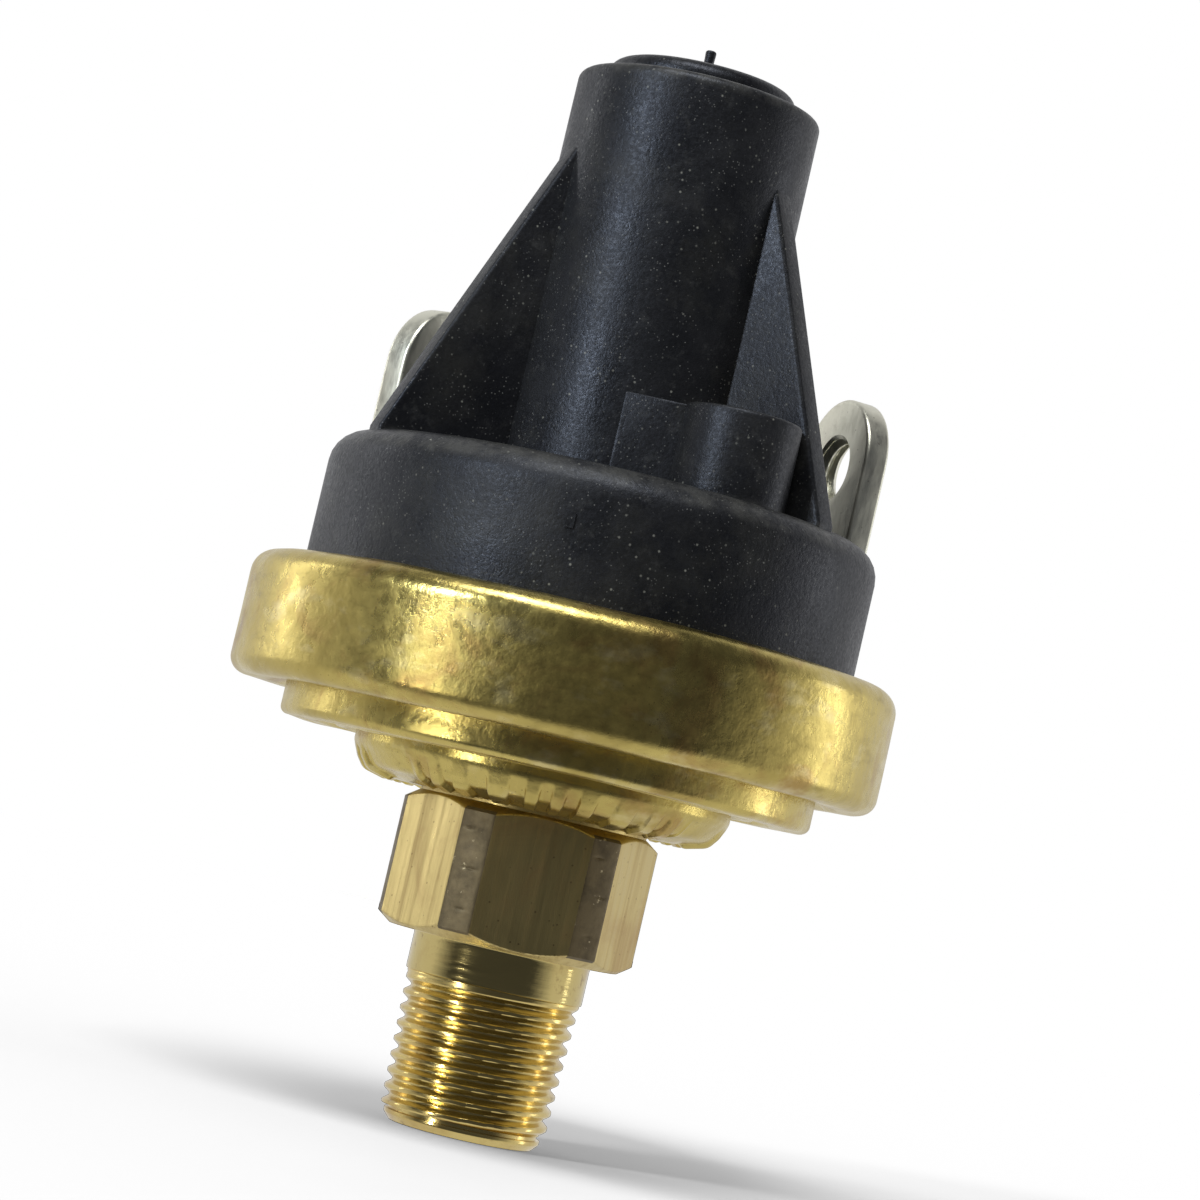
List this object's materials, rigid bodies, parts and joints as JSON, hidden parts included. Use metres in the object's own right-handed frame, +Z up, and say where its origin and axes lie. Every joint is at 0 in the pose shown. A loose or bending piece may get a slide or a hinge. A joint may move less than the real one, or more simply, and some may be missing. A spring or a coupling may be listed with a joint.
{
  "type": "pressure switch",
  "caption": "Adjustable diaphragm pressure switch with a taper-thread brass port, crimped brass shell, black ribbed tower housing and tapped tab terminals.",
  "frame": {"origin": "on the port axis, at the shoulder where the collar meets the hexagon's lower face", "axes": "+Z up the axis towards the adjusting tower; +Y towards the third gusset, the YZ plane being the housing's mirror plane apart from the boss; +X to the right seen from -Y"},
  "size_m": [0.0395, 0.0394, 0.0669],
  "materials": {
    "brass_fitting": "turned brass, satin hexagon with draw lines, bright thread and collar",
    "brass_shell": "pressed brass with a satin, slightly tarnished skin",
    "brass_turned": "turned brass",
    "black_moulding": "black moulded phenolic, matte, dusty",
    "black_plug": "black moulded plug, slightly smoother",
    "pale_moulding": "natural moulded resin",
    "tab_plate": "bright warm tin plate over a stamped tab",
    "silver_contact": "silver contact surface",
    "spring_steel": "drawn spring steel",
    "plain_steel": "pressed steel",
    "black_rubber": "moulded nitrile rubber",
    "diaphragm_sheet": "amber coated diaphragm sheet",
    "sintered_bronze": "porous sintered bronze"
  },
  "bodies": {
    "switch": {"port_fitting": "brass_fitting", "orifice_snubber": "brass_fitting", "pressure_shell": "brass_shell", "seal_gasket": "black_rubber", "diaphragm": "diaphragm_sheet", "clamp_ring": "plain_steel", "calibration_spring": "spring_steel", "threaded_insert": "brass_turned", "tower_plug": "black_plug", "plug_seal": "black_rubber", "terminal_right": "tab_plate", "terminal_left": "tab_plate", "fixed_contact_right": "silver_contact", "fixed_contact_left": "silver_contact", "switch_housing": "black_moulding", "vent_filter": "sintered_bronze"},
    "pusher": {"pusher": "pale_moulding", "retaining_clip": "spring_steel", "lower_spring_seat": "brass_turned", "overtravel_spring": "spring_steel"},
    "contact_disc": {"contact_disc": "silver_contact"},
    "upper_seat": {"upper_spring_seat": "brass_turned"},
    "calibration_screw": {"calibration_screw": "brass_turned"}
  },
  "joints": [
    {"name": "pusher_travel", "type": "slide", "parent": "switch", "child": "pusher", "axis": [0, 0, 1], "range_m": [0, 0.00075], "stiffness_N_per_m": 4100, "springref_m": -0.002, "deforming": ["diaphragm", "calibration_spring"]},
    {"name": "contact_overtravel", "type": "slide", "parent": "pusher", "child": "contact_disc", "axis": [0, 0, -1], "range_m": [0, 0.0004], "stiffness_N_per_m": 750, "springref_m": -0.0008, "deforming": ["overtravel_spring"]},
    {"name": "calibration_feed", "type": "slide", "parent": "switch", "child": "upper_seat", "axis": [0, 0, -1], "range_m": [0, 0.002], "deforming": ["calibration_spring"]},
    {"name": "calibration_turn", "type": "hinge", "parent": "upper_seat", "child": "calibration_screw", "pos_m": [0, 0, 0.044], "axis": [0, 0, -1], "range_deg": [0, 720]}
  ],
  "couplings": [
    {"joint": "calibration_turn", "follows": "calibration_feed", "rad_per_m": 6283.2}
  ]
}
